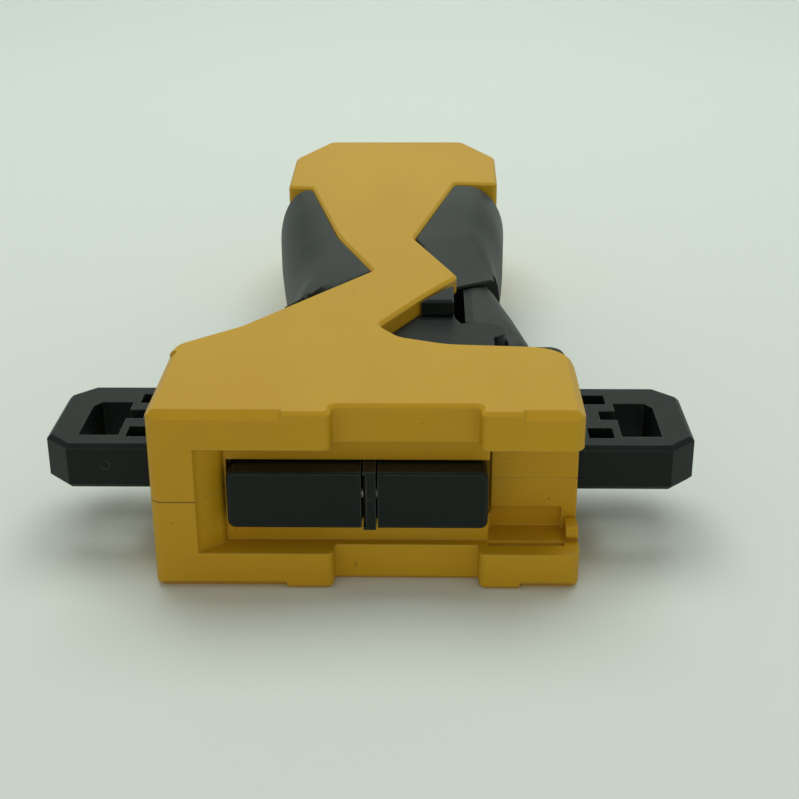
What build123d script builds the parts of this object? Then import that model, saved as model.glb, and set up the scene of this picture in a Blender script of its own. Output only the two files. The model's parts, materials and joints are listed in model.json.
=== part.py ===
from build123d import *
import os
from functools import cache

# Hand tape gun lying on its flat side. +Y runs from the front lips to the butt of the handle,
# +X is across the head along the bar, +Z is up through the thickness. Every plan position is
# given as (x, back): x is measured from the cutter, back from the front lips.

# ------------------------------------------------------------------ driving sizes, mm
LENGTH = 188.6
HEAD_WIDTH = 71.2
MIDDLE = -0.6              # x of the middle of the head and bar
HEAD_LEFT = MIDDLE - HEAD_WIDTH / 2
HEAD_RIGHT = MIDDLE + HEAD_WIDTH / 2
THICKNESS = 32.4
SEAM = THICKNESS / 2
PLATE = 3.6                # flat plate of each shell
SKIN = THICKNESS - PLATE   # underside of the upper plate
FLOOR = PLATE              # upper face of the lower plate
EDGE = 0.7                 # small chamfer round each shell
FRONT_BEVEL = 1.5          # chamfer along the front of the lips
SIDE_BEVEL = 1.3           # chamfer along the head's left and right sides
GAP = 0.35                 # least room between pieces that move past each other

THROAT_HEIGHT = 19.0       # clear height between the lips, for 19 mm tape
THROAT_LOW = SEAM - THROAT_HEIGHT / 2
THROAT_HIGH = SEAM + THROAT_HEIGHT / 2
LIP_CUT = 3.4              # how far the lips step back in the middle
LIP_CUT_LEFT = -6.1
LIP_CUT_RIGHT = 18.2

BAR_LENGTH = 112.8
BAR_DEPTH = 26.3
BAR_THICKNESS = 8.4
BAR_BACK = 13.3            # front face of the bar
BAR_TRAVEL = 12.0
BAR_CORNER = 4.24
BAR_EDGE = 0.8
BAR_LOW = SEAM - BAR_THICKNESS / 2
BAR_HIGH = SEAM + BAR_THICKNESS / 2
NOTCH_PITCH = 6.0
NOTCH_DEPTH = 3.2
NOTCH_WIDTH = 4.0

BLOCK_LEFT = -23.5
BLOCK_RIGHT = 19.5
BLOCK_HEIGHT = 10.2
BLOCK_FRONT = 0.8

TONGUE = 2.1               # thickness of the cutter plate
CUTTER_FRONT = BLOCK_FRONT - 0.1
BLADE_THICKNESS = 0.5
BLADE_HALF = 4.8

PIVOT_X = 20.0
PIVOT_BACK = 47.8
PIN_RADIUS = 2.0
RUNNING_FIT = 0.05
HUB_RADIUS = 5.2
CAP_RADIUS = 4.4           # round end of the deck over the hub
LOBE_LEFT = 22.5           # inner side of the lever's lobe in front of its hub
PAD_LEFT = 18.2            # where the soft pad meets the lever
HUB_LOW = FLOOR + 3.6
HUB_HIGH = SKIN - 3.6
ARM_LOW = 12.8
ARM_HIGH = 19.6

LOCK_X = 11.1
LOCK_TRAVEL = 4.0
STEM_LEFT = 11.6
STEM_RIGHT = 14.0
STEM_FRONT = 59.4
STEM_BACK = 60.6

SCREW_PLACES = [(-30.4, 7.0), (-12.4, 49.6), (-1.5, 99.5), (-14.0, 160.0), (14.0, 160.0)]
SCREW_RADIUS = 1.25
SCREW_HEAD_RADIUS = 2.4
BOSS_RADIUS = 3.6
INSERT_RADIUS = 2.1
INSERT_LENGTH = 5.0
GROOVE_DEPTH = 0.3         # parting line between the shells
GROOVE_HEIGHT = 0.12

# Plan of the yellow shells: (x, back, corner radius)
SHELL_PLAN = [
    (HEAD_LEFT, 0, 2.2),
    (HEAD_LEFT, 30.2, 6),
    (-25.3, 40.2, 12),
    (-2.0, 73.4, 1.0),
    (-10.4, 97.5, 60),
    (-19.4, 139.7, 1.2),
    (-25.3, 140.6, 1.2),
    (-25.8, 169.5, 3),
    (-17.8, LENGTH, 3),
    (18.8, LENGTH, 3),
    (27.1, 170.5, 3),
    (26.7, 143.4, 1.2),
    (16.2, 144.4, 1.2),
    (6.5, 96.6, 1.4),
    (15.7, 70.0, 4),
    (7.6, 55.4, 14),
    (0.5, 41.0, 2.2),
    (4.6, 34.8, 4),
    (13.0, 31.3, 14),
    (HEAD_RIGHT, 29.6, 8),
    (HEAD_RIGHT, 0, 2.2),
    (LIP_CUT_RIGHT, 0, 1.2),
    (LIP_CUT_RIGHT, LIP_CUT, 0.8),
    (LIP_CUT_LEFT, LIP_CUT, 0.8),
    (LIP_CUT_LEFT, 0, 1.2),
]


# ------------------------------------------------------------------ helpers
def at(x, back):
    return (x - MIDDLE, back - LENGTH / 2)


def face_of(plan):
    corners = [at(x, back) for x, back, _ in plan]
    radii = [radius for _, _, radius in plan]
    return make_face(FilletPolyline(*corners, radius=radii, close=True).edges())


def prism(plan, low, high):
    return Pos(0, 0, low) * extrude(face_of(plan), high - low, dir=(0, 0, 1))


def sharp(plan, low, high):
    return prism([(x, back, 0) for x, back in plan], low, high)


def block(left, right, front, back, low, high):
    centre = at((left + right) / 2, (front + back) / 2)
    size = (right - left, back - front, high - low)
    return Pos(centre[0], centre[1], (low + high) / 2) * Box(*size)


def post(x, back, radius, low, high):
    place = at(x, back)
    return Pos(place[0], place[1], (low + high) / 2) * Cylinder(radius, high - low)


def rod_x(left, right, back, height, radius):
    middle = at((left + right) / 2, back)
    return Pos(middle[0], middle[1], height) * Rot(0, 90, 0) * Cylinder(radius, right - left)


def rod_y(x, front, back, height, radius):
    middle = at(x, (front + back) / 2)
    return Pos(middle[0], middle[1], height) * Rot(90, 0, 0) * Cylinder(radius, back - front)


def turned_over(shape):
    return mirror(shape, about=Plane.XY.offset(SEAM))


def coil(x, back, height, direction, length, radius, wire, turns):
    """Compression spring starting at a point and running along a direction."""
    start = at(x, back)
    helix = Helix(pitch=(length - wire) / turns, height=length - wire, radius=radius)
    profile = Plane(origin=helix @ 0, z_dir=helix % 0) * Circle(wire / 2)
    spring = sweep(profile, path=helix)
    seat = Plane(origin=(start[0], start[1], height), z_dir=direction)
    return seat * Pos(0, 0, wire / 2) * spring


def edges_at(shape, height, tolerance=0.01):
    return [e for e in shape.edges()
            if abs(e.bounding_box().min.Z - height) < tolerance
            and abs(e.bounding_box().max.Z - height) < tolerance]


# ------------------------------------------------------------------ shells
@cache
def shell_blank():
    """Upper half of the yellow body before it is hollowed."""
    body = prism(SHELL_PLAN, SEAM, THICKNESS)
    body = chamfer(edges_at(body, THICKNESS), EDGE)
    front = at(0, 0)[1]
    wedge = Polygon((front - 1, THICKNESS - FRONT_BEVEL - 1), (front - 1, THICKNESS + 1),
                    (front + FRONT_BEVEL + 1, THICKNESS + 1), align=None)
    bevel = extrude(Plane.YZ * wedge, HEAD_WIDTH, both=True)
    pads = block(-14.0, LIP_CUT_LEFT, -2, 4, SEAM, THICKNESS + 1)
    pads += block(LIP_CUT_RIGHT, 25.0, -2, 4, SEAM, THICKNESS + 1)
    return body - (bevel - pads) - side_bevels()


def side_bevels():
    """Chamfers along the straight sides of the head."""
    half = HEAD_WIDTH / 2
    wedge = Polygon((half - SIDE_BEVEL, THICKNESS), (half + 1, THICKNESS),
                    (half + 1, THICKNESS - SIDE_BEVEL - 1), align=None)
    run = Pos(0, at(0, 12)[1], 0) * extrude(Plane.XZ * wedge, 15, both=True)
    return run + mirror(run, about=Plane.YZ)


def throat_space():
    """Tape throat across the front, open at the right side."""
    space = prism([(-28.9, -4, 0), (-28.9, 0.2, 3), (-24.4, 4.2, 2), (-24.4, 5.2, 0),
                   (19.9, 5.2, 0.4), (19.9, 9.7, 0.4), (40, 9.7, 0), (40, -4, 0)],
                  THROAT_LOW, THROAT_HIGH)
    half_block = BLOCK_HEIGHT / 2
    passage = block(-24.0, 20.0, 4, 7.2, SEAM - half_block - GAP, SEAM + half_block + GAP)
    chamber = block(-24.4, 20.4, 7.0, 11.3, SEAM - half_block - 1.7, SEAM + half_block + 1.7)
    return space + passage + chamber


def mechanism_space():
    """Everything that the bar, cutter, trigger and decks need inside both shells."""
    bar = block(-40, 40, BAR_BACK - GAP, BAR_BACK + BAR_DEPTH + GAP, BAR_LOW - GAP, BAR_HIGH + GAP)
    bay = block(-31.8, 31.8, 15.0, 26.2, FLOOR, SKIN)
    behind = prism([(-31.6, 24.0, 0), (-31.6, 29.0, 1), (-23.2, 38.6, 1), (-6.0, 63.0, 2),
                    (3.0, 63.0, 1), (9.8, 70.0, 1), (9.8, 83.0, 1), (40, 83.0, 0),
                    (40, 28.0, 0), (31.8, 28.0, 0), (31.8, 24.0, 0)], FLOOR, SKIN)
    return bar + bay + behind + cutter_way()


def cutter_way():
    half = TONGUE / 2 + GAP
    return block(-half, half, 6.5, 45, 7.4, THICKNESS - 7.4)


def handle_space():
    grip_bay = prism([(-6.4, 92.5, 1.5), (3.4, 97.0, 1.5), (12.6, 141.0, 1.5),
                      (-15.8, 136.8, 1.5)], FLOOR, SKIN)
    butt_bay = prism([(-22.6, 143.6, 1.5), (-22.9, 168.8, 2), (-15.8, 185.4, 2),
                      (16.9, 185.4, 2), (24.1, 169.9, 2), (23.9, 147.2, 1.5),
                      (12.0, 147.2, 1.5), (10.0, 143.6, 1.5)], FLOOR, SKIN)
    return grip_bay + butt_bay


def ribs(low, high):
    """Cross ribs that carry the bar from above and stiffen the handle."""
    pieces = [block(x - 0.9, x + 0.9, 14.8, 26.4, low, high) for x in (-24, -10, 9, 18)]
    pieces += [block(-14.0, 10.5, back, back + 1.6, low, high) for back in (112, 126)]
    pieces += [block(-1.0, 1.0, 143, 186.5, low, high)]
    result = pieces[0]
    for piece in pieces[1:]:
        result += piece
    return result


@cache
def shell_half():
    """Upper shell; the lower one is its mirror image with the screw ways added."""
    shell = shell_blank() - mechanism_space() - handle_space()
    rib_low = BAR_HIGH + GAP
    shell += (ribs(rib_low, SKIN) & shell_blank()) - cutter_way()
    for x, back in SCREW_PLACES:
        shell += post(x, back, BOSS_RADIUS, SEAM, SKIN + 0.5) & shell_blank()
    shell -= throat_space()
    shell -= block(-40, 40, BAR_BACK - GAP, BAR_BACK + BAR_DEPTH + GAP, SEAM - 1, BAR_HIGH + GAP)
    for side in (-1, 1):
        shell -= bar_guide(side)
    return shell - parting_groove()


def parting_groove():
    """Fine groove round the outside where the two shells meet."""
    outer = face_of(SHELL_PLAN)
    ring = offset(outer, 1.0) - offset(outer, -GROOVE_DEPTH, kind=Kind.INTERSECTION)
    return Pos(0, 0, SEAM - 1) * extrude(ring, 1 + GROOVE_HEIGHT, dir=(0, 0, 1))


def lip_details():
    """Tape ledge and end gusset on the lower lip beside the open side of the throat."""
    gusset = block(32.9, HEAD_RIGHT, 4.6, 9.8, THROAT_LOW - 0.1, THROAT_LOW + 2.4)
    gusset = chamfer(gusset.edges().filter_by(Axis.X), 1.0)
    ledge = block(19.9, 32.6, 3.4, 4.8, THROAT_LOW - 0.8, THROAT_LOW + 1)
    recess = block(20.4, 32.4, 9.0, 10.7, THROAT_LOW, THROAT_LOW + 4.0)
    return gusset, ledge + recess


def upper_shell():
    shell = shell_half()
    for x, back in SCREW_PLACES:
        shell -= post(x, back, INSERT_RADIUS, SEAM - 1, SEAM + INSERT_LENGTH)
        shell -= post(x, back, SCREW_RADIUS + 0.2, SEAM - 1, SEAM + INSERT_LENGTH + 3)
    return shell


def lower_shell():
    gusset, cuts = lip_details()
    shell = turned_over(shell_half()) + gusset - cuts
    for x, back in SCREW_PLACES:
        shell -= post(x, back, SCREW_RADIUS + 0.2, -1, SEAM + 1)
        shell -= post(x, back, SCREW_HEAD_RADIUS + 0.3, -1, 4.2)
    return shell


def shell_screws():
    screws = []
    for x, back in SCREW_PLACES:
        head = post(x, back, SCREW_HEAD_RADIUS, 1.6, 4.2)
        head = fillet(edges_at(head, 1.6), 0.6)
        socket = Pos(*at(x, back), 1.4) * extrude(RegularPolygon(1.4, 6), 1.4)
        shank = post(x, back, SCREW_RADIUS, 4.2, SEAM + INSERT_LENGTH + 1.5)
        screws.append(head + shank - socket)
    return Compound(children=screws)


def screw_inserts():
    inserts = []
    for x, back in SCREW_PLACES:
        body = post(x, back, INSERT_RADIUS, SEAM, SEAM + INSERT_LENGTH)
        groove = post(x, back, INSERT_RADIUS + 1, SEAM + 2.1, SEAM + 2.9)
        groove -= post(x, back, INSERT_RADIUS - 0.3, SEAM + 2, SEAM + 3)
        inserts.append(body - groove - post(x, back, SCREW_RADIUS, SEAM - 1, SEAM + 9))
    return Compound(children=inserts)


# ------------------------------------------------------------------ bar and its guides
def bar_guide(side):
    """U-shaped nylon liner in the side opening of the head."""
    outer = block(29.2, 31.8, BAR_BACK - GAP - 1.4, 26.0, BAR_LOW - 1.6, BAR_HIGH + 1.6)
    inner = block(28, 33, BAR_BACK - GAP, 27, BAR_LOW - 0.1, BAR_HIGH + 0.1)
    liner = outer - inner
    if side < 0:
        liner = mirror(liner, about=Plane.YZ)
    return liner


def bar_pockets():
    """Ladder recesses: each has a front and a back row beside the spine."""
    pitch = 8.4
    width = 4.4
    spaces = []
    for side in (-1, 1):
        for step in range(3):
            centre = MIDDLE + side * (40.3 - step * pitch)
            spaces.append((centre - width / 2, centre + width / 2))
    return spaces


def cross_bar():
    half = BAR_LENGTH / 2
    back_face = BAR_BACK + BAR_DEPTH
    bar = block(MIDDLE - half, MIDDLE + half, BAR_BACK, back_face, BAR_LOW, BAR_HIGH)
    bar = chamfer(bar.edges().filter_by(Axis.Z), BAR_CORNER)
    bar = chamfer(edges_at(bar, BAR_HIGH) + edges_at(bar, BAR_LOW), BAR_EDGE)
    for left, right in bar_pockets():
        for front, back in ((16.8, 21.2), (31.5, 35.8)):
            hole = block(left, right, front, back, BAR_LOW - 1, BAR_HIGH + 1)
            bar -= hole - block(left, right, front, back, SEAM - 0.8, SEAM + 0.8)
    for side in (-1, 1):
        bar -= end_window(side)
        notch_middle = MIDDLE + side * 43.0
        bar -= block(notch_middle - 2.2, notch_middle + 2.2, 24.6, 28.5, BAR_LOW - 1, BAR_HIGH + 1)
    for place in range(-4, 5):
        x = LOCK_X + place * NOTCH_PITCH
        bar -= block(x - NOTCH_WIDTH / 2, x + NOTCH_WIDTH / 2, back_face - NOTCH_DEPTH,
                     back_face + 1, BAR_LOW - 1, BAR_HIGH + 1)
    slot = block(-17 - BAR_TRAVEL - 2.6, -17 + BAR_TRAVEL + 2.6, 24.0, 29.2, BAR_LOW - 1,
                 BAR_HIGH + 1)
    gate_mark = rod_y(MIDDLE - 45.6, BAR_BACK - 1, BAR_BACK + 0.3, SEAM + 0.3, 0.8)
    return bar - slot - gate_mark


def end_window(side):
    """Window through the bar's end, with its outer back corner cut off."""
    inner = MIDDLE + side * 43.8
    outer = MIDDLE + side * 50.8
    plan = [(inner, 17.4), (outer, 17.4), (outer, 30.0), (outer - side * 1.3, 32.0), (inner, 32.0)]
    return sharp(plan, BAR_LOW - 1, BAR_HIGH + 1)


def stop_pin():
    """Steel pin through the bar's slot that ends its travel."""
    return post(-17.0, 26.6, 2.2, FLOOR, SKIN)


# ------------------------------------------------------------------ presser block
PRESSER_SPRINGS = (-16.0, 12.0)
LINK_BACK = 4.0
LINK_RADIUS = 1.0


def presser_half(left, right):
    """One half of the block in the throat, with its retaining flange and spring pocket."""
    half = BLOCK_HEIGHT / 2
    body = block(BLOCK_LEFT, BLOCK_RIGHT, BLOCK_FRONT, 8.4, SEAM - half, SEAM + half)
    body = fillet(body.edges().filter_by(Axis.Y), 1.3)
    front = [e for e in body.edges() if e.bounding_box().max.Y < at(0, BLOCK_FRONT)[1] + 0.01]
    body = chamfer(front, 0.35)
    body += block(BLOCK_LEFT + 0.6, BLOCK_RIGHT - 0.6, 7.4, 8.4, SEAM - half - 1.3,
                  SEAM + half + 1.3)
    body -= rod_x(-11, 8, LINK_BACK, SEAM, LINK_RADIUS)
    for x in PRESSER_SPRINGS:
        body -= rod_y(x, 4.4, 9, SEAM, 2.6)
    return body & block(left, right, 0, 12, 0, THICKNESS)


def presser_left():
    return presser_half(BLOCK_LEFT - 1, -TONGUE / 2 - 0.3)


def presser_right():
    return presser_half(TONGUE / 2 + 0.3, BLOCK_RIGHT + 1)


def presser_link():
    """Steel rod that ties both halves together through a slot in the cutter."""
    return rod_x(-11, 8, LINK_BACK, SEAM, LINK_RADIUS)


def link_slot():
    return block(-3, 3, LINK_BACK - 1.4, 11.6, SEAM - 1.4, SEAM + 1.4)


def presser_springs():
    springs = []
    for x in PRESSER_SPRINGS:
        springs.append(coil(x, 4.4, SEAM, (0, 1, 0), 6.9, 1.9, 0.45, 5))
    return Compound(children=springs)


# ------------------------------------------------------------------ cutter
RIVET_HEIGHTS = (SEAM - 3, SEAM + 3)
RIVET_RADIUS = 0.8


def cutter_slide():
    """Flat plate that passes round the bar, with the yoke that the trigger arm drives."""
    half = TONGUE / 2
    low = 7.8
    high = THICKNESS - low
    tongue_half = BLOCK_HEIGHT / 2 + 0.2
    plate = block(-half, half, CUTTER_FRONT, 12.6, SEAM - tongue_half, SEAM + tongue_half)
    plate += block(-half, half, 10.6, 12.6, low, high)
    plate += block(-half, half, 10.6, 50.0, BAR_HIGH + 0.5, high)
    plate += block(-half, half, 10.6, 50.0, low, BAR_LOW - 0.5)
    yoke = block(-5.0, 3.2, 44.0, 51.6, low, high)
    yoke -= block(-2.7, 4, PIVOT_BACK - 2.65, PIVOT_BACK + 2.65, BAR_LOW, BAR_HIGH)
    plate += yoke
    blade_seat = block(-half - 1, BLADE_THICKNESS - half, 0, 7.0, SEAM - BLADE_HALF, SEAM + BLADE_HALF)
    front_line = block(-half, half, 0, CUTTER_FRONT + 0.3, SEAM + 0.2, SEAM + 0.4)
    for height in RIVET_HEIGHTS:
        plate -= rod_x(-3, 3, 5.4, height, RIVET_RADIUS)
    return plate - blade_seat - front_line - link_slot()


def cutter_blade():
    """Flat blade riveted in the left side of the cutter plate, ground on one face."""
    left = -TONGUE / 2
    right = left + BLADE_THICKNESS
    front = CUTTER_FRONT + 0.1
    blade = sharp([(right, front), (right, 7.0), (left, 7.0), (left, front + 1.4)],
                  SEAM - BLADE_HALF, SEAM + BLADE_HALF)
    for height in RIVET_HEIGHTS:
        blade -= rod_x(-3, 3, 5.4, height, RIVET_RADIUS)
    return blade - link_slot()


def blade_rivets():
    return Compound(children=[rod_x(-TONGUE / 2, TONGUE / 2, 5.4, height, RIVET_RADIUS)
                              for height in RIVET_HEIGHTS])


def cutter_spring():
    """Extension spring that draws the yoke back towards the waist wall."""
    return coil(-1.5, 51.6, SEAM, (0, 1, 0), 11.2, 2.0, 0.5, 7)


# ------------------------------------------------------------------ trigger
@cache
def trigger_lobe():
    """Outer form of the lever: the bulge that the finger presses, cut clear of the decks."""
    low = FLOOR + 0.5
    high = SKIN - 0.5
    lobe = prism([(LOBE_LEFT, 41.0, 0), (27.6, 41.0, 4), (28.6, 55.0, 30), (26.9, 70.0, 30),
                  (24.6, 80.6, 4), (16.8, 80.6, 0), (16.8, 46.0, 0), (LOBE_LEFT, 46.0, 0)],
                 low, high)
    outer = [e for e in edges_at(lobe, high) + edges_at(lobe, low)
             if e.center().X > at(25, 0)[0]]
    lobe = fillet(outer, 3.4)
    for bottom, top in ((HUB_HIGH, THICKNESS), (0, HUB_LOW)):
        lobe -= post(PIVOT_X, PIVOT_BACK, CAP_RADIUS + 0.4, bottom, top)
        lobe -= block(14.0, PIVOT_X, 40.0, 53.2, bottom, top)
    return lobe - post(PIVOT_X, PIVOT_BACK, HUB_RADIUS, HUB_LOW, HUB_HIGH)


def trigger():
    """Black lever: hub, core of the lobe, and the arm that drives the cutter."""
    core = trigger_lobe() - block(PAD_LEFT, 40, 30, 90, 0, THICKNESS)
    hub = post(PIVOT_X, PIVOT_BACK, HUB_RADIUS, HUB_LOW, HUB_HIGH)
    arm = sharp([(0, PIVOT_BACK - 1.7), (PIVOT_X, PIVOT_BACK - 2.2),
                 (PIVOT_X, PIVOT_BACK + 4.5), (0, PIVOT_BACK + 1.7)], ARM_LOW, ARM_HIGH)
    tip = post(0, PIVOT_BACK, 2.2, ARM_LOW, ARM_HIGH)
    wing = sharp([(PAD_LEFT, 50.0), (11.4, 52.0), (11.4, 66.5), (PAD_LEFT, 69.0)],
                 ARM_LOW, ARM_HIGH)
    lever = core + hub + arm + tip + wing
    return lever - post(PIVOT_X, PIVOT_BACK, PIN_RADIUS + RUNNING_FIT, 0, THICKNESS)


def trigger_pad():
    """Soft pad moulded on the outside of the lever."""
    return trigger_lobe() & block(PAD_LEFT, 40, 30, 90, 0, THICKNESS)


def trigger_pin():
    return post(PIVOT_X, PIVOT_BACK, PIN_RADIUS, 5.0, THICKNESS - 5.0)


def trigger_spring():
    return coil(9.8, 75.0, SEAM, (1, 0, 0), 7.0, 3.0, 0.6, 4)


# ------------------------------------------------------------------ black decks
def deck():
    """Black plate behind the head: covers the bar's back edge and the trigger hub."""
    low = BAR_HIGH + GAP
    head_part = prism([(2.0, 29.0, 0), (34.8, 29.0, 0.5), (34.8, 40.0, 3), (2.0, 40.0, 0)],
                      low, SKIN)
    back_edge = [e for e in edges_at(head_part, SKIN) if e.center().Y > at(0, 33)[1]]
    head_part = fillet(back_edge, 1.6)
    hollow = block(4.0, 32.8, 28, 38.4, low - 1, SKIN - 3)
    roof_low = SKIN - 2.9
    tongue = sharp([(2.0, 38.0), (PIVOT_X, 38.0), (PIVOT_X, 52.0), (15.9, 51.0), (14.8, 54.0),
                    (13.4, 65.5), (7.4, 65.5), (3.0, 58.0)], roof_low, SKIN)
    cap = post(PIVOT_X, PIVOT_BACK, CAP_RADIUS, roof_low, SKIN)
    bridge = block(PIVOT_X - 1, LOBE_LEFT - 0.6, 38.0, PIVOT_BACK - 2, roof_low, SKIN)
    plate = head_part - hollow + tongue + cap + bridge
    plate -= post(PIVOT_X, PIVOT_BACK, PIN_RADIUS, THICKNESS - 8, THICKNESS - 5.0)
    plate -= block(-TONGUE, 3.6, 28, 60, 0, roof_low)
    return plate


def upper_deck():
    slot = block(STEM_LEFT - GAP, STEM_RIGHT + GAP, STEM_FRONT - LOCK_TRAVEL - GAP,
                 STEM_BACK + GAP, 20, THICKNESS)
    way = block(LOCK_X - 2.4, STEM_RIGHT + 0.6, 30, 62, BAR_HIGH, SKIN - 2.9)
    return deck() - slot - way


def lower_deck():
    return turned_over(deck())


# ------------------------------------------------------------------ bar lock
def bar_lock():
    """Thumb slider on the deck; pushed forward, its pawl enters a notch in the bar."""
    thumb = sharp([(8.2, 55.4), (14.6, 55.4), (14.6, 65.2)], SKIN + 0.3, THICKNESS - 0.3)
    thumb = chamfer(edges_at(thumb, THICKNESS - 0.3), 0.5)
    stem = block(STEM_LEFT, STEM_RIGHT, STEM_FRONT, STEM_BACK, 24, SKIN + 0.4)
    beam = block(LOCK_X - 1.9, STEM_RIGHT, 41.2, 61.0, 21.2, SKIN - 3.4)
    pawl = block(LOCK_X - 1.4, LOCK_X + 1.4, 41.0, 43.0, 13.6, 22.5)
    return thumb + stem + beam + pawl


# ------------------------------------------------------------------ grips
def trigger_pocket():
    return prism([(9.6, 60.0, 0), (9.6, 82.2, 1), (40, 82.2, 0), (40, 40.0, 0), (9.6, 40.0, 0)],
                 FLOOR + 0.1, SKIN - 0.1)


def left_grip():
    body = prism([(-18.3, 48.0, 0), (-18.7, 74.0, 40), (-27.9, 140.4, 3), (-8.0, 138.6, 0),
                  (0.0, 76.0, 0), (-2.0, 60.0, 0), (-10.0, 48.0, 0)], 0.2, THICKNESS - 0.2)
    rims = [e for e in edges_at(body, 0.2) + edges_at(body, THICKNESS - 0.2)
            if e.center().X < at(-18, 0)[0]]
    body = fillet(rims, 4.5)
    body -= prism(SHELL_PLAN, -1, THICKNESS + 1)
    slot = sharp([(-16.6, 52.6), (-8.8, 63.8), (-10.0, 64.9), (-17.8, 53.7)],
                 THICKNESS - 3, THICKNESS + 1)
    return body - slot


def right_grip():
    body = prism([(28.7, 144.2, 3), (27.4, 122.0, 40), (25.4, 100.0, 40), (25.0, 78.0, 0),
                  (14.6, 71.6, 0), (2.0, 92.0, 0), (10.0, 144.2, 0)], 0.2, THICKNESS - 0.2)
    rims = [e for e in edges_at(body, 0.2) + edges_at(body, THICKNESS - 0.2)
            if e.center().X > at(24.4, 0)[0] and e.center().Y > at(0, 80)[1]]
    body = fillet(rims, 4.0)
    scoop_angle = 31.0
    reach = 24.0
    drop = 3.0
    wedge = Polygon((-reach, 0), (0, 0), (-reach, -drop), align=None)
    run = extrude(Plane.XZ * wedge, 60, both=True)
    tip = at(6.6, 93.5)
    scoop = Pos(tip[0], tip[1], THICKNESS - 0.2) * Rot(0, 0, 90 + scoop_angle) * run
    body -= scoop
    body -= turned_over(scoop)
    body -= prism(SHELL_PLAN, -1, THICKNESS + 1)
    return body - trigger_pocket()


# ------------------------------------------------------------------ all nodes
NODES = {
    "upper_shell": upper_shell,
    "lower_shell": lower_shell,
    "shell_screws": shell_screws,
    "screw_inserts": screw_inserts,
    "cross_bar": cross_bar,
    "bar_guide_left": lambda: bar_guide(-1),
    "bar_guide_right": lambda: bar_guide(1),
    "bar_stop_pin": stop_pin,
    "bar_lock": bar_lock,
    "presser_left": presser_left,
    "presser_right": presser_right,
    "presser_link": presser_link,
    "presser_springs": presser_springs,
    "cutter_slide": cutter_slide,
    "cutter_blade": cutter_blade,
    "blade_rivets": blade_rivets,
    "cutter_spring": cutter_spring,
    "trigger": trigger,
    "trigger_pad": trigger_pad,
    "trigger_pin": trigger_pin,
    "trigger_spring": trigger_spring,
    "upper_deck": upper_deck,
    "lower_deck": lower_deck,
    "left_grip": left_grip,
    "right_grip": right_grip,
}

os.makedirs("parts", exist_ok=True)
for name, make in NODES.items():
    export_step(make(), f"parts/{name}.step")
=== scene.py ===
import json
import math

import bmesh
import bpy
from mathutils import Matrix, Vector


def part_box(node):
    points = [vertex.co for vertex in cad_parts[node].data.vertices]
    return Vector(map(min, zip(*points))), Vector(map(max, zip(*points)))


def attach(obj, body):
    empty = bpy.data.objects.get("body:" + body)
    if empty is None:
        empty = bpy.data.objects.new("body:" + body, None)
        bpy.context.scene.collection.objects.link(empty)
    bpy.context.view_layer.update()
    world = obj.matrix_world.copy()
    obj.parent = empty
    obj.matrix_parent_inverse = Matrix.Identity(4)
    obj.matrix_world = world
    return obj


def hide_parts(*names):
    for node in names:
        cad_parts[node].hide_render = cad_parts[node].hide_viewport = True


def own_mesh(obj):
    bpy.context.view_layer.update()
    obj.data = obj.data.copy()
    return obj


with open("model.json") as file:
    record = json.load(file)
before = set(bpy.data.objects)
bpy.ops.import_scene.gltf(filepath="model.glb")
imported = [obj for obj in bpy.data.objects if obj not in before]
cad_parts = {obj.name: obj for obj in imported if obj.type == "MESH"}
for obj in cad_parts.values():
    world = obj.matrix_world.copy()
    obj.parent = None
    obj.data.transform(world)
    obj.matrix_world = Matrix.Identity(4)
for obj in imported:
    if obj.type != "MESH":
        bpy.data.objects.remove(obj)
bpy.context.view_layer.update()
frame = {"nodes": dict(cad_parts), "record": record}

MM = 0.001
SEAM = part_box("upper_shell")[0].z
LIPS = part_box("upper_shell")[0].y
CUTTER_X = 0.6 * MM        # the cutter stands this far right of the middle


def at(x, back, z):
    """A point given as the CAD gives it: x from the cutter, back from the lips, in mm."""
    return Vector((CUTTER_X + x * MM, LIPS + back * MM, z * MM))


# ------------------------------------------------------------------ shader expressions
class Value:
    """A shader socket that can be used in Python expressions."""

    def __init__(self, finish, socket):
        self.finish = finish
        self.socket = socket

    def _math(self, operation, first, second=None):
        operands = [first] if second is None else [first, second]
        return self.finish.value("ShaderNodeMath", {"operation": operation},
                                 dict(enumerate(operands)))

    def __add__(self, other):
        return self._math("ADD", self, other)

    def __radd__(self, other):
        return self._math("ADD", other, self)

    def __sub__(self, other):
        return self._math("SUBTRACT", self, other)

    def __rsub__(self, other):
        return self._math("SUBTRACT", other, self)

    def __mul__(self, other):
        return self._math("MULTIPLY", self, other)

    def __rmul__(self, other):
        return self._math("MULTIPLY", other, self)

    def clamped(self):
        return self._math("MINIMUM", self._math("MAXIMUM", self, 0.0), 1.0)

    def above(self, level, softness):
        """0 below a level and 1 above it, with a soft step."""
        return ((self - (level - softness)) * (0.5 / softness)).clamped()


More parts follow.
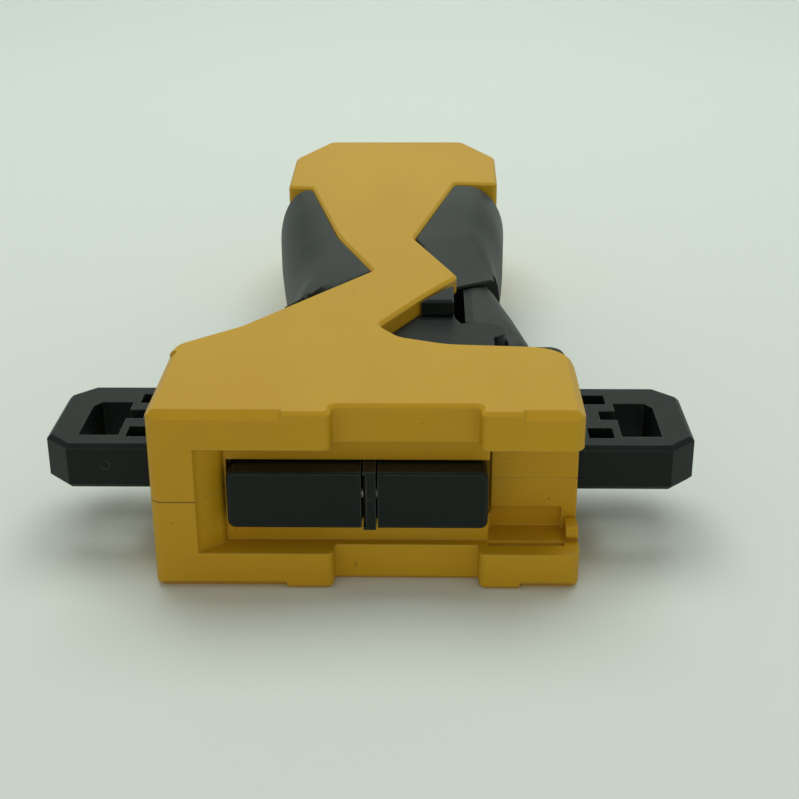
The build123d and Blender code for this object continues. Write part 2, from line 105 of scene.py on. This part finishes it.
class Finish:
    """A material and its node tree."""

    def __init__(self, name, constants):
        self.material = bpy.data.materials.new(name)
        self.material.use_nodes = True
        self.tree = self.material.node_tree
        self.shader = self.tree.nodes["Principled BSDF"]
        for socket, constant in constants.items():
            self.shader.inputs[socket].default_value = constant
        self.place = self.value("ShaderNodeTexCoord", output="Object")

    def value(self, kind, settings=None, inputs=None, output=0):
        node = self.tree.nodes.new(kind)
        for key, setting in (settings or {}).items():
            setattr(node, key, setting)
        for key, given in (inputs or {}).items():
            if isinstance(given, Value):
                self.tree.links.new(given.socket, node.inputs[key])
            else:
                node.inputs[key].default_value = given
        return Value(self, node.outputs[output])

    def noise(self, scale, detail=2.0, roughness=0.5, place=None):
        return self.value("ShaderNodeTexNoise", {}, {
            "Vector": place or self.place, "Scale": scale, "Detail": detail,
            "Roughness": roughness})

    def cells(self, scale):
        return self.value("ShaderNodeTexVoronoi", {}, {"Vector": self.place, "Scale": scale})

    def mix(self, amount, first, second):
        settings = {"data_type": "RGBA"}
        node = self.value("ShaderNodeMix", settings, {}, output=2)
        inputs = node.socket.node.inputs
        for index, given in ((0, amount), (6, first), (7, second)):
            if isinstance(given, Value):
                self.tree.links.new(given.socket, inputs[index])
            elif index == 0:
                inputs[index].default_value = given
            else:
                inputs[index].default_value = (*given, 1.0)
        return node

    def stretched(self, factors):
        return self.value("ShaderNodeVectorMath", {"operation": "MULTIPLY"},
                          {0: self.place, 1: factors})

    def rounded(self, radius):
        """The surface's direction with its sharp edges rounded to a radius."""
        return self.value("ShaderNodeBevel", {"samples": 8}, {"Radius": radius})

    def edge_wear(self, rounded):
        """Near 1 on sharp edges and 0 on flat faces."""
        true = self.value("ShaderNodeNewGeometry", output="Normal")
        facing = self.value("ShaderNodeVectorMath", {"operation": "DOT_PRODUCT"},
                            {0: rounded, 1: true}, output="Value")
        return ((1.0 - facing) * 6.0).clamped()

    def bump(self, height, strength, distance, normal=None):
        """Fine relief, laid over the rounded direction where one is given."""
        inputs = {"Height": height, "Strength": strength, "Distance": distance}
        if normal is not None:
            inputs["Normal"] = normal
        return self.value("ShaderNodeBump", {}, inputs)

    def feed(self, sources):
        for socket, source in sources.items():
            self.tree.links.new(source.socket, self.shader.inputs[socket])
        return self.material


# ------------------------------------------------------------------ materials
def amber_plastic():
    """Satin moulded plastic: faint flow mottling, fine grain, tiny dark flecks, pale edges."""
    finish = Finish("amber_plastic", {"IOR": 1.46, "Specular IOR Level": 0.28})
    clouds = finish.noise(20.0, 3.0)
    flow = finish.noise(60.0, 3.0, place=finish.stretched((1.0, 0.25, 1.0)))
    grain = finish.noise(1500.0, 2.0)
    here_and_there = finish.noise(120.0, 1.0).above(0.69, 0.02)
    flecks = (1.0 - finish.cells(760.0).above(0.14, 0.04)) * here_and_there
    rounded = finish.rounded(0.45 * MM)
    wear = finish.edge_wear(rounded) * finish.noise(150.0).above(0.3, 0.25)
    base = finish.mix((clouds * 0.6 + flow * 0.4).above(0.5, 0.22), AMBER_DEEP, AMBER)
    worn = finish.mix(wear * 0.45, base, AMBER_PALE)
    color = finish.mix(flecks * 0.75, worn, AMBER_FLECK)
    roughness = 0.36 + clouds * 0.1 + grain * 0.06
    scratches = finish.noise(300.0, 3.0, place=finish.stretched((1.0, 0.05, 1.0)))
    height = grain * 0.65 + scratches * 0.35
    return finish.feed({"Base Color": color, "Roughness": roughness,
                        "Normal": finish.bump(height, 0.10, 0.00015, rounded)})


def black_plastic():
    """Satin black plastic with a slight green cast, spark-eroded grain and bright worn edges."""
    finish = Finish("black_plastic", {"IOR": 1.47, "Specular IOR Level": 0.24})
    clouds = finish.noise(45.0, 3.0)
    grain = finish.noise(2400.0, 2.0, 0.6)
    pits = finish.cells(2900.0)
    rounded = finish.rounded(0.35 * MM)
    wear = finish.edge_wear(rounded) * finish.noise(500.0, 3.0, 0.7).above(0.42, 0.2)
    base = finish.mix(clouds, BLACK, BLACK_GREEN)
    color = finish.mix(wear * 0.8, base, BLACK_WORN)
    roughness = 0.30 + clouds * 0.12 + grain * 0.22
    height = grain * 0.6 + pits * 0.4
    return finish.feed({"Base Color": color, "Roughness": roughness,
                        "Normal": finish.bump(height, 0.45, 0.00012, rounded)})


def soft_touch():
    """Charcoal soft-touch rubber: matte, faintly dusty, polished by the hand in places."""
    finish = Finish("soft_touch_rubber", {"IOR": 1.44, "Specular IOR Level": 0.3})
    dust = finish.noise(70.0, 4.0, 0.6)
    rubbed = finish.noise(16.0, 2.0)
    grain = finish.noise(3000.0, 2.0, 0.6)
    specks = (1.0 - finish.cells(900.0).above(0.12, 0.03)) * finish.noise(90.0).above(0.6, 0.05)
    mottled = finish.mix((dust * 0.6 + rubbed * 0.4).above(0.5, 0.25), CHARCOAL, CHARCOAL_DUSTY)
    color = finish.mix(specks * 0.35, mottled, DUST)
    roughness = 0.50 - rubbed.above(0.55, 0.15) * 0.10 + grain * 0.1
    return finish.feed({"Base Color": color, "Roughness": roughness,
                        "Normal": finish.bump(grain, 0.3, 0.0001)})


def turned_metal(name, tint, dark, roughness, lines):
    """Machined metal with fine lines, slight tarnish and uneven polish."""
    finish = Finish(name, {"Metallic": 1.0})
    cut = finish.noise(1400.0, 2.0, place=finish.stretched(lines))
    tarnish = finish.noise(130.0, 4.0, 0.6)
    color = finish.mix(tarnish.above(0.55, 0.2), tint, dark)
    rough = roughness + cut * 0.15 + tarnish * 0.1
    return finish.feed({"Base Color": color, "Roughness": rough,
                        "Normal": finish.bump(cut, 0.2, 0.00005)})


def nylon():
    """Undyed slippery plastic of the bar guides."""
    finish = Finish("natural_nylon", {"IOR": 1.53})
    clouds = finish.noise(90.0, 3.0)
    color = finish.mix(clouds, NYLON_DEEP, NYLON)
    return finish.feed({"Base Color": color, "Roughness": 0.4 + clouds * 0.15,
                        "Normal": finish.bump(finish.noise(1500.0), 0.15, 0.0001)})


AMBER = (0.59, 0.345, 0.012)
AMBER_DEEP = (0.54, 0.29, 0.009)
AMBER_PALE = (0.72, 0.50, 0.10)
AMBER_FLECK = (0.10, 0.055, 0.01)
BLACK = (0.003, 0.0065, 0.006)
BLACK_GREEN = (0.006, 0.0115, 0.0105)
BLACK_WORN = (0.10, 0.115, 0.105)
CHARCOAL = (0.015, 0.0195, 0.018)
CHARCOAL_DUSTY = (0.030, 0.036, 0.033)
DUST = (0.16, 0.16, 0.15)
NYLON = (0.72, 0.7, 0.63)
NYLON_DEEP = (0.62, 0.6, 0.52)

STEEL = ((0.56, 0.56, 0.57), (0.34, 0.33, 0.31))


def paint_nodes():
    """Give every carried-over CAD node its finish."""
    materials = {
        "yellow_shell": amber_plastic(),
        "black_plastic": black_plastic(),
        "soft_grip": soft_touch(),
        "steel": turned_metal("plain_steel", *STEEL, 0.28, (1.0, 1.0, 0.05)),
        "spring_steel": turned_metal("spring_wire", *STEEL, 0.22, (1.0, 1.0, 1.0)),
        "blade_steel": turned_metal("ground_blade", (0.42, 0.42, 0.43), (0.22, 0.22, 0.22), 0.3,
                                    (1.0, 1.0, 0.04)),
        "brass": turned_metal("turned_brass", (0.72, 0.52, 0.22), (0.4, 0.27, 0.1), 0.3,
                              (1.0, 1.0, 0.05)),
        "nylon": nylon(),
    }
    for part in frame["record"]["subparts"]:
        piece = frame["nodes"][part["node"]]
        piece.data.materials.clear()
        piece.data.materials.append(materials[part["material_slot"]])
    return materials


materials = paint_nodes()


# ------------------------------------------------------------------ grips and trigger pad
def eased(points, along):
    """Smooth curve through (position, value) points, read at one position."""
    if along <= points[0][0]:
        return points[0][1]
    for index, (start, end) in enumerate(zip(points, points[1:])):
        if along <= end[0]:
            before = points[max(index - 1, 0)]
            after = points[min(index + 2, len(points) - 1)]
            span = end[0] - start[0]
            leave = (end[1] - before[1]) / (end[0] - before[0]) * span
            arrive = (after[1] - start[1]) / (after[0] - start[0]) * span
            t = (along - start[0]) / span
            return ((2 * t**3 - 3 * t**2 + 1) * start[1] + (t**3 - 2 * t**2 + t) * leave
                    + (3 * t**2 - 2 * t**3) * end[1] + (t**3 - t**2) * arrive)
    return points[-1][1]


def straight(points, along):
    """Straight runs through (position, value) points, read at one position."""
    for start, end in zip(points, points[1:]):
        if along <= end[0]:
            t = max(0.0, (along - start[0]) / (end[0] - start[0]))
            return start[1] + t * (end[1] - start[1])
    return points[-1][1]


def step_between(low, high, value):
    """0 below low, 1 above high, with a smooth rise between them."""
    t = min(max((value - low) / (high - low), 0.0), 1.0)
    return t * t * (3 - 2 * t)


def round_inset(share, radius):
    """How far a quarter-round corner has drawn in, at a share of its radius along it."""
    return radius * (1 - math.sqrt(max(0.0, 1 - share ** 2)))


CROWN_STEPS = 12


def section(width, height, side, roll):
    """Upper half of a D-shaped section, from the outer middle to the inner edge.

    Gives (distance from the outer side, height above the middle); side is how far the
    crown reaches in from the outer side, and roll is the small radius at the inner edge.
    """
    reach = min(side, width * 0.9)
    edge = min(roll, width * 0.08)
    rise = height * 0.8
    points = []
    for step in range(CROWN_STEPS + 1):
        angle = math.pi / 2 * step / CROWN_STEPS
        across = reach * (1 - math.cos(angle) ** 0.9)
        points.append((across, height - rise + rise * math.sin(angle)))
    for share in (0.25, 0.5, 0.75):
        points.append((reach + (width - edge - reach) * share, height))
    for step in range(4):
        angle = math.pi / 2 * step / 3
        across = width - edge + edge * math.sin(angle)
        points.append((across, height - edge * (1 - math.cos(angle))))
    return points


def lofted(name, stations, lower):
    """Closed form through stations of (outer point, inner point, half height, side, roll).

    lower(x, back, share) says how far the surface lies below its full height.
    """
    mesh = bpy.data.meshes.new(name)
    form = bmesh.new()
    rings = []
    for outer, inner, height, side, roll in stations:
        width = math.dist(outer, inner)
        upper = section(width, height, side, roll)
        ring = []
        for sign in (1, -1):
            for distance, rise in (upper if sign > 0 else reversed(upper)):
                share = distance / width
                x = outer[0] + (inner[0] - outer[0]) * share
                back = outer[1] + (inner[1] - outer[1]) * share
                z = SEAM / MM + sign * (rise - lower(x, back, share) * (rise / height) ** 3)
                ring.append(form.verts.new(at(x, back, z)))
        rings.append(ring)
    for first, second in zip(rings, rings[1:]):
        for index in range(len(first)):
            follow = (index + 1) % len(first)
            form.faces.new((first[index], first[follow], second[follow], second[index]))
    form.faces.new(rings[0])
    form.faces.new(list(reversed(rings[-1])))
    bmesh.ops.recalc_face_normals(form, faces=form.faces)
    form.to_mesh(mesh)
    form.free()
    piece = bpy.data.objects.new(name, mesh)
    bpy.context.scene.collection.objects.link(piece)
    return piece


CRISP_ANGLE = math.radians(38)


def smooth(piece):
    """Smooth shading that keeps true corners crisp."""
    for face in piece.data.polygons:
        face.use_smooth = True
    piece.data.set_sharp_from_angle(angle=CRISP_ANGLE)


def cut_away(piece, left, right, front, back, low, high):
    """Take a box out of a piece."""
    cutter_mesh = bpy.data.meshes.new("cutting_box")
    form = bmesh.new()
    bmesh.ops.create_cube(form, size=1.0)
    near, far = at(left, front, low), at(right, back, high)
    for corner in form.verts:
        corner.co = Vector(near[axis] if corner.co[axis] < 0 else far[axis] for axis in range(3))
    form.to_mesh(cutter_mesh)
    form.free()
    cutter = bpy.data.objects.new("cutting_box", cutter_mesh)
    bpy.context.scene.collection.objects.link(cutter)
    cut = piece.modifiers.new("pocket", "BOOLEAN")
    cut.operation = "DIFFERENCE"
    cut.solver = "EXACT"
    cut.object = cutter
    bpy.context.view_layer.update()
    graph = bpy.context.evaluated_depsgraph_get()
    piece.data = bpy.data.meshes.new_from_object(piece.evaluated_get(graph))
    piece.modifiers.clear()
    bpy.data.objects.remove(cutter)


def finished(piece, body, node):
    """Give a soft piece smooth shading, its rubber and its body, and hide the node that it stands
    for.
    """
    smooth(piece)
    piece.data.materials.clear()
    piece.data.materials.append(materials["soft_grip"])
    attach(piece, body)
    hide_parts(node)


SKIN_HALF = 16.0           # half thickness of the grips
SEAM_GAP = 0.15            # hairline between a grip and the yellow shell

LEFT_OUTER = [(48, -18.3), (62, -18.4), (76, -19.1), (100, -22.3), (122, -25.4), (141, -27.9)]
LEFT_INNER = [(40.2, -25.3), (73.4, -2.0), (97.5, -10.4), (139.9, -19.4)]


def left_grip():
    """Rubber panel along the left of the handle, with the slot beside the shoulder."""
    def slot_depth(x, back, share):
        beside = step_between(0.80, 0.86, share)
        return 3.0 * beside * step_between(53.0, 54.2, back) * (1 - step_between(63.0, 64.2, back))

    stations = []
    start, end, corner = 51.0, 139.8, 4.5
    steps = 64
    places = [start + (end - start) * (1 - (1 - step / steps) ** 1.15) for step in range(steps + 1)]
    for back in sorted(places + [73.4]):
        rounding = max(0.0, (back - (end - corner)) / corner)
        inset = round_inset(rounding, corner)
        outer = eased(LEFT_OUTER, back) + inset
        inner = straight(LEFT_INNER, back) - SEAM_GAP
        height = SKIN_HALF - 1.2 * rounding ** 3
        side = 4.0 + 7.0 * step_between(56, 90, back)
        stations.append(((outer, back), (inner, back), height, side, 0.5))
    piece = lofted("left_grip_panel", stations, slot_depth)
    finished(piece, "housing", "left_grip")


RIGHT_OUTER = [(78, 24.9), (88, 24.9), (100, 25.4), (122, 27.3), (144, 28.6)]
RIGHT_INNER = [(71.6, 15.1), (96.6, 6.6), (144, 16.1)]
TRIGGER_POCKET = {"left": 9.9, "right": 40.0, "front": 40.0, "back": 82.1, "low": 3.8, "high": 28.6}


def right_grip():
    """Rubber panel on the right: hollowed in front, where it rises to a ridge."""
    def scoop(x, back, share):
        reach = (96.0 - back + (x - 6.6) * 0.62) / 26.0
        return 3.0 * step_between(0.0, 1.0, reach)

    stations = []
    inner_start, outer_start, end, corner = 71.8, 78.2, 143.9, 3.5
    steps = 60
    for step in range(steps + 1):
        t = step / steps
        inner_back = inner_start + (end - inner_start) * t
        outer_back = outer_start + (end - outer_start) * t
        rounding = max(0.0, (outer_back - (end - corner)) / corner)
        inset = round_inset(rounding, corner)
        outer = (eased(RIGHT_OUTER, outer_back) - inset, outer_back)
        inner = (straight(RIGHT_INNER, inner_back) + SEAM_GAP, inner_back)
        height = SKIN_HALF - 1.0 * rounding ** 3
        side = 3.5 + 6.5 * step_between(82, 112, outer_back)
        stations.append((outer, inner, height, side, 0.5))
    piece = lofted("right_grip_panel", stations, scoop)
    cut_away(piece, **TRIGGER_POCKET)
    finished(piece, "housing", "right_grip")


PAD_OUTER = [(41, 27.6), (43, 29.0), (48, 30.1), (55, 30.0), (64, 28.5), (72, 26.4), (80.4, 24.4)]
PIVOT = (20.0, 47.8)
CAP_CLEARANCE = 4.9        # round cut of the pad about the deck's end
PAD_LEFT = 18.2
LOBE_LEFT = 22.6
PAD_HALF = 12.05


def trigger_pad():
    """Bulging soft pad of the lever, lower in front where the deck's round end stands."""
    def inner_side(back):
        if back > 53.2:
            return PAD_LEFT
        from_pivot = abs(back - PIVOT[1])
        arc = math.sqrt(max(0.0, CAP_CLEARANCE ** 2 - from_pivot ** 2))
        return max(LOBE_LEFT, PIVOT[0] + arc)

    def crown(x, back, share):
        return 3.4 * max(0.0, (74.0 - back) / 33.0) ** 1.6

    front, end, corner = 41.1, 80.5, 4.5
    steps = 48
    places = [front + (end - front) * step / steps for step in range(steps + 1)] + [53.15, 53.25]
    stations = []
    for back in sorted(places):
        tail = max(0.0, (back - (end - corner)) / corner)
        nose = max(0.0, (front + corner - back) / corner)
        inset = round_inset(tail, corner) + round_inset(nose, corner)
        outer = eased(PAD_OUTER, back) - inset * 0.7
        inner = inner_side(back)
        height = PAD_HALF - 1.5 * nose ** 2
        stations.append(((outer, back), (inner, back), height, 9.5, 0.15))
    piece = lofted("trigger_soft_pad", stations, crown)
    finished(piece, "lever", "trigger_pad")


def pressed_spring(node):
    """Copy of a spring with a mesh of its own, carried by the housing in place of its part."""
    source = frame["nodes"][node]
    spring = bpy.data.objects.new(node + "_coils", source.data.copy())
    bpy.context.scene.collection.objects.link(spring)
    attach(spring, "housing")
    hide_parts(node)
    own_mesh(spring)


left_grip()
right_grip()
trigger_pad()
pressed_spring("presser_springs")
pressed_spring("trigger_spring")


# ------------------------------------------------------------------ floor, light and camera
def curved_backdrop():
    """Pale sweep: floor that rises smoothly into a wall far behind."""
    sweep = bpy.data.meshes.new("sweep")
    form = bmesh.new()
    radius = 0.5
    start = 0.45
    profile = [(-1.2, 0.0), (start, 0.0)]
    profile += [(start + radius * math.sin(a), radius * (1 - math.cos(a)))
                for a in [math.radians(step * 7.5) for step in range(1, 13)]]
    profile += [(start + radius, 1.6)]
    rows = []
    for y, z in profile:
        rows.append([form.verts.new((x, y, z)) for x in (-1.6, 1.6)])
    for low, high in zip(rows, rows[1:]):
        form.faces.new((low[0], low[1], high[1], high[0]))
    form.to_mesh(sweep)
    form.free()
    for face in sweep.polygons:
        face.use_smooth = True
    floor = bpy.data.objects.new("sweep", sweep)
    bpy.context.scene.collection.objects.link(floor)
    paper = Finish("pale_sweep", {"Roughness": 0.75})
    tone = paper.noise(3.0, 2.0)
    sweep.materials.append(paper.feed(
        {"Base Color": paper.mix(tone, (0.72, 0.76, 0.715), (0.75, 0.79, 0.745))}))
    return floor


def soft_lamp(name, place, aim, size, watts, color):
    """Rectangular lamp at a place, turned towards a point."""
    lamp = bpy.data.lights.new(name, "AREA")
    lamp.shape = "RECTANGLE"
    lamp.size, lamp.size_y = size
    lamp.energy = watts
    lamp.color = color
    piece = bpy.data.objects.new(name, lamp)
    piece.location = place
    piece.rotation_euler = (Vector(aim) - Vector(place)).to_track_quat("-Z", "Y").to_euler()
    bpy.context.scene.collection.objects.link(piece)
    return piece


def studio_light():
    """Even pale surroundings, one large lamp above and behind, and a weak warm one in front."""
    world = bpy.data.worlds.new("studio")
    bpy.context.scene.world = world
    world.use_nodes = True
    bpy.context.scene.view_settings.view_transform = "Standard"
    sky = world.node_tree.nodes["Background"]
    sky.inputs["Color"].default_value = (0.93, 1.0, 0.95, 1.0)
    sky.inputs["Strength"].default_value = 0.37
    soft_lamp("overhead", (0.0, 0.35, 0.9), (0.0, 0.0, 0.0), (0.9, 0.7), 6.0, (0.95, 1.0, 0.96))
    soft_lamp("front_fill", (0.0, -0.9, 0.3), (0.0, -0.08, 0.01), (0.9, 0.3), 1.0, (1.0, 0.84, 0.6))


VIEW_PITCH = 23.17
VIEW_YAW = 1.245
VIEW_ROLL = -0.301
VIEW_LENS = 64.93
VIEW_PLACE = at(9.64, -210.1, 124.68)


def set_camera():
    """Low three-quarter view down the tool from in front of its lips."""
    lens = bpy.data.cameras.new("camera")
    lens.lens = VIEW_LENS
    lens.sensor_width = 36.0
    lens.clip_start = 0.01
    camera = bpy.data.objects.new("camera", lens)
    turn = (Matrix.Rotation(math.radians(VIEW_YAW), 4, "Z")
            @ Matrix.Rotation(math.radians(90 - VIEW_PITCH), 4, "X")
            @ Matrix.Rotation(math.radians(VIEW_ROLL), 4, "Z"))
    camera.matrix_world = Matrix.Translation(VIEW_PLACE) @ turn
    bpy.context.scene.collection.objects.link(camera)
    bpy.context.scene.camera = camera


curved_backdrop()
studio_light()
set_camera()
